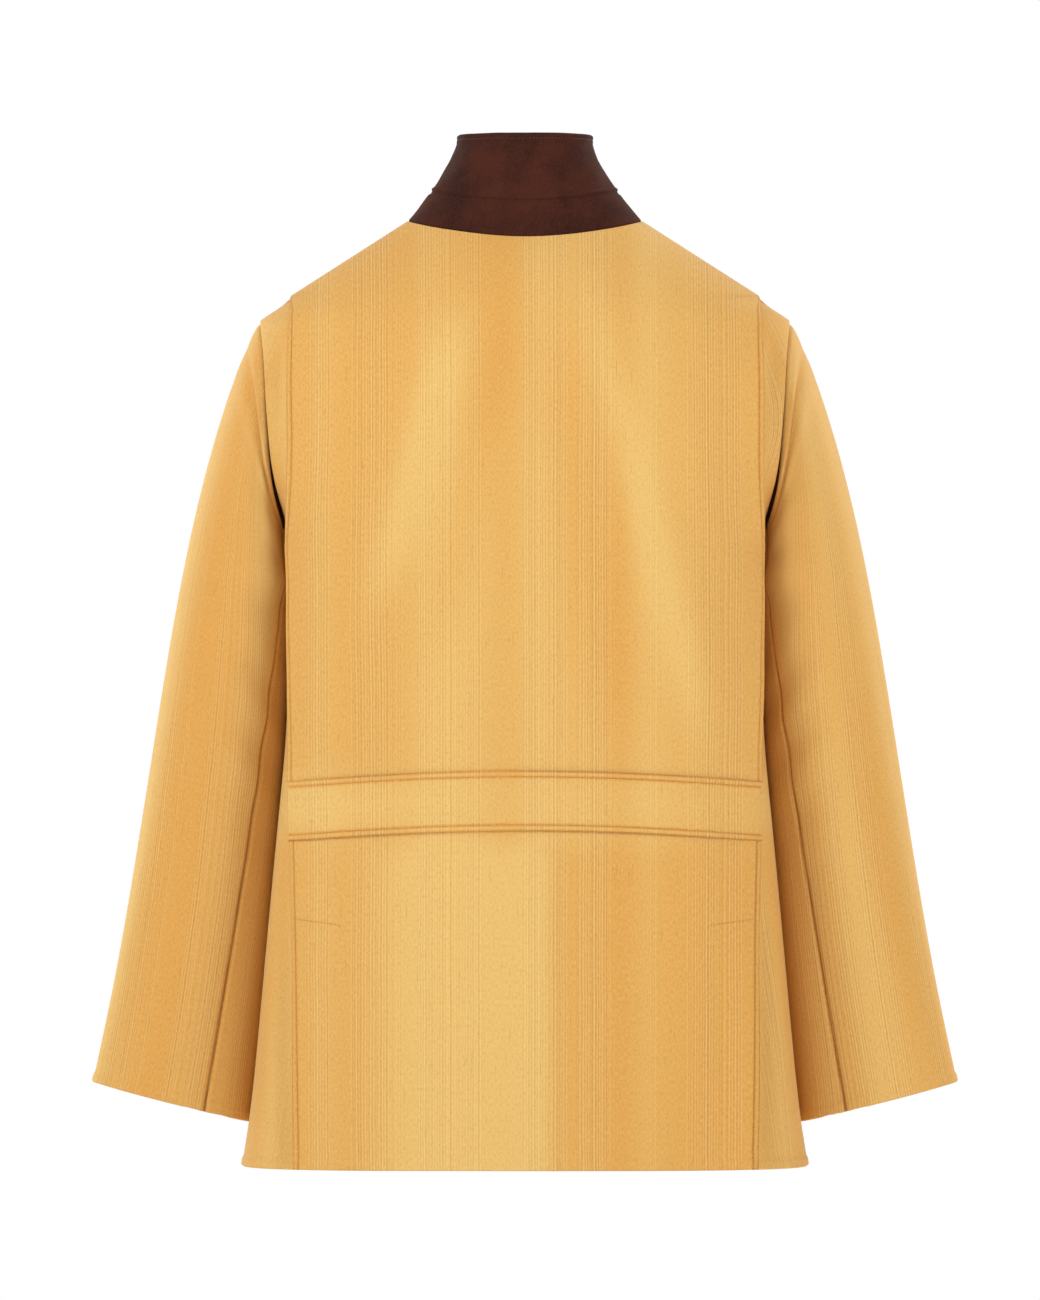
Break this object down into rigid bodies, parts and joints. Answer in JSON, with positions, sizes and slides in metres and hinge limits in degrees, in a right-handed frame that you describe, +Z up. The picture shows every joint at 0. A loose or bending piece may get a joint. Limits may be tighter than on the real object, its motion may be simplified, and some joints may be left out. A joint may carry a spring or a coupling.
{
  "type": "jacket",
  "caption": "Hip-length ribbed cloth jacket with a two-part suede collar, action back with a half belt, side vents, two-piece sleeves and flapped patch pockets.",
  "frame": {"origin": "centre of the neck opening, level with the neck seam at the centre back, where a hanger's neck holds the jacket", "axes": "+Z up, -Y towards the jacket's front, +X towards the wearer's left"},
  "size_m": [0.6952, 0.27, 0.8253],
  "materials": {
    "shell_cloth": "ribbed matte weave",
    "suede": "suede nap",
    "lining": "smooth twill",
    "horn": "polished horn look"
  },
  "bodies": {
    "body": {"back_panel": "shell_cloth", "back_waistband": "shell_cloth", "back_neck_facing": "shell_cloth", "back_lining": "lining", "pleat_gusset_left": "shell_cloth", "pleat_gusset_right": "shell_cloth", "side_panel_left": "shell_cloth", "side_panel_right": "shell_cloth", "side_lining_left": "lining", "side_lining_right": "lining", "collar_stand": "suede", "collar_fall": "suede", "collar_facing": "suede"},
    "left_front": {"front_panel_left": "shell_cloth", "front_facing_left": "shell_cloth", "front_lining_left": "lining", "patch_pocket_left": "shell_cloth"},
    "right_front": {"front_panel_right": "shell_cloth", "front_facing_right": "shell_cloth", "front_lining_right": "lining", "patch_pocket_right": "shell_cloth", "front_button_1": "horn", "front_button_2": "horn", "front_button_3": "horn", "front_button_4": "horn", "front_button_5": "horn"},
    "left_flap": {"pocket_flap_left": "shell_cloth"},
    "right_flap": {"pocket_flap_right": "shell_cloth"},
    "left_sleeve": {"top_sleeve_left": "shell_cloth", "under_sleeve_left": "shell_cloth", "sleeve_lining_left": "lining"},
    "right_sleeve": {"top_sleeve_right": "shell_cloth", "under_sleeve_right": "shell_cloth", "sleeve_lining_right": "lining"},
    "back_tail": {"back_skirt": "shell_cloth", "skirt_lining": "lining"},
    "loop": {"hanger_loop": "shell_cloth"}
  },
  "joints": [
    {"name": "left_front_open", "type": "hinge", "parent": "body", "child": "left_front", "pos_m": [0.2088, -0.0888, -0.74], "axis": [-0.0419, 0.0658, 0.997], "range_deg": [0, 30]},
    {"name": "right_front_open", "type": "hinge", "parent": "body", "child": "right_front", "pos_m": [-0.2088, -0.0888, -0.74], "axis": [-0.0419, -0.0658, -0.997], "range_deg": [0, 30]},
    {"name": "left_flap_lift", "type": "hinge", "parent": "left_front", "child": "left_flap", "pos_m": [0.0318, -0.1365, -0.522], "axis": [-0.9883, -0.1526, 0], "range_deg": [0, 100]},
    {"name": "right_flap_lift", "type": "hinge", "parent": "right_front", "child": "right_flap", "pos_m": [-0.0318, -0.1365, -0.522], "axis": [-0.9883, 0.1526, 0], "range_deg": [0, 100]},
    {"name": "left_sleeve_raise", "type": "hinge", "parent": "body", "child": "left_sleeve", "pos_m": [0.205, 0, -0.058], "axis": [0, -1, 0], "range_deg": [0, 30]},
    {"name": "right_sleeve_raise", "type": "hinge", "parent": "body", "child": "right_sleeve", "pos_m": [-0.205, 0, -0.058], "axis": [0, 1, 0], "range_deg": [0, 30]},
    {"name": "back_tail_lift", "type": "hinge", "parent": "body", "child": "back_tail", "pos_m": [0, 0.1287, -0.4695], "axis": [1, 0, 0], "range_deg": [0, 25]},
    {"name": "hanger_loop_swing", "type": "hinge", "parent": "body", "child": "loop", "pos_m": [0, 0.0585, -0.0005], "axis": [-1, 0, 0], "range_deg": [0, 140]}
  ]
}
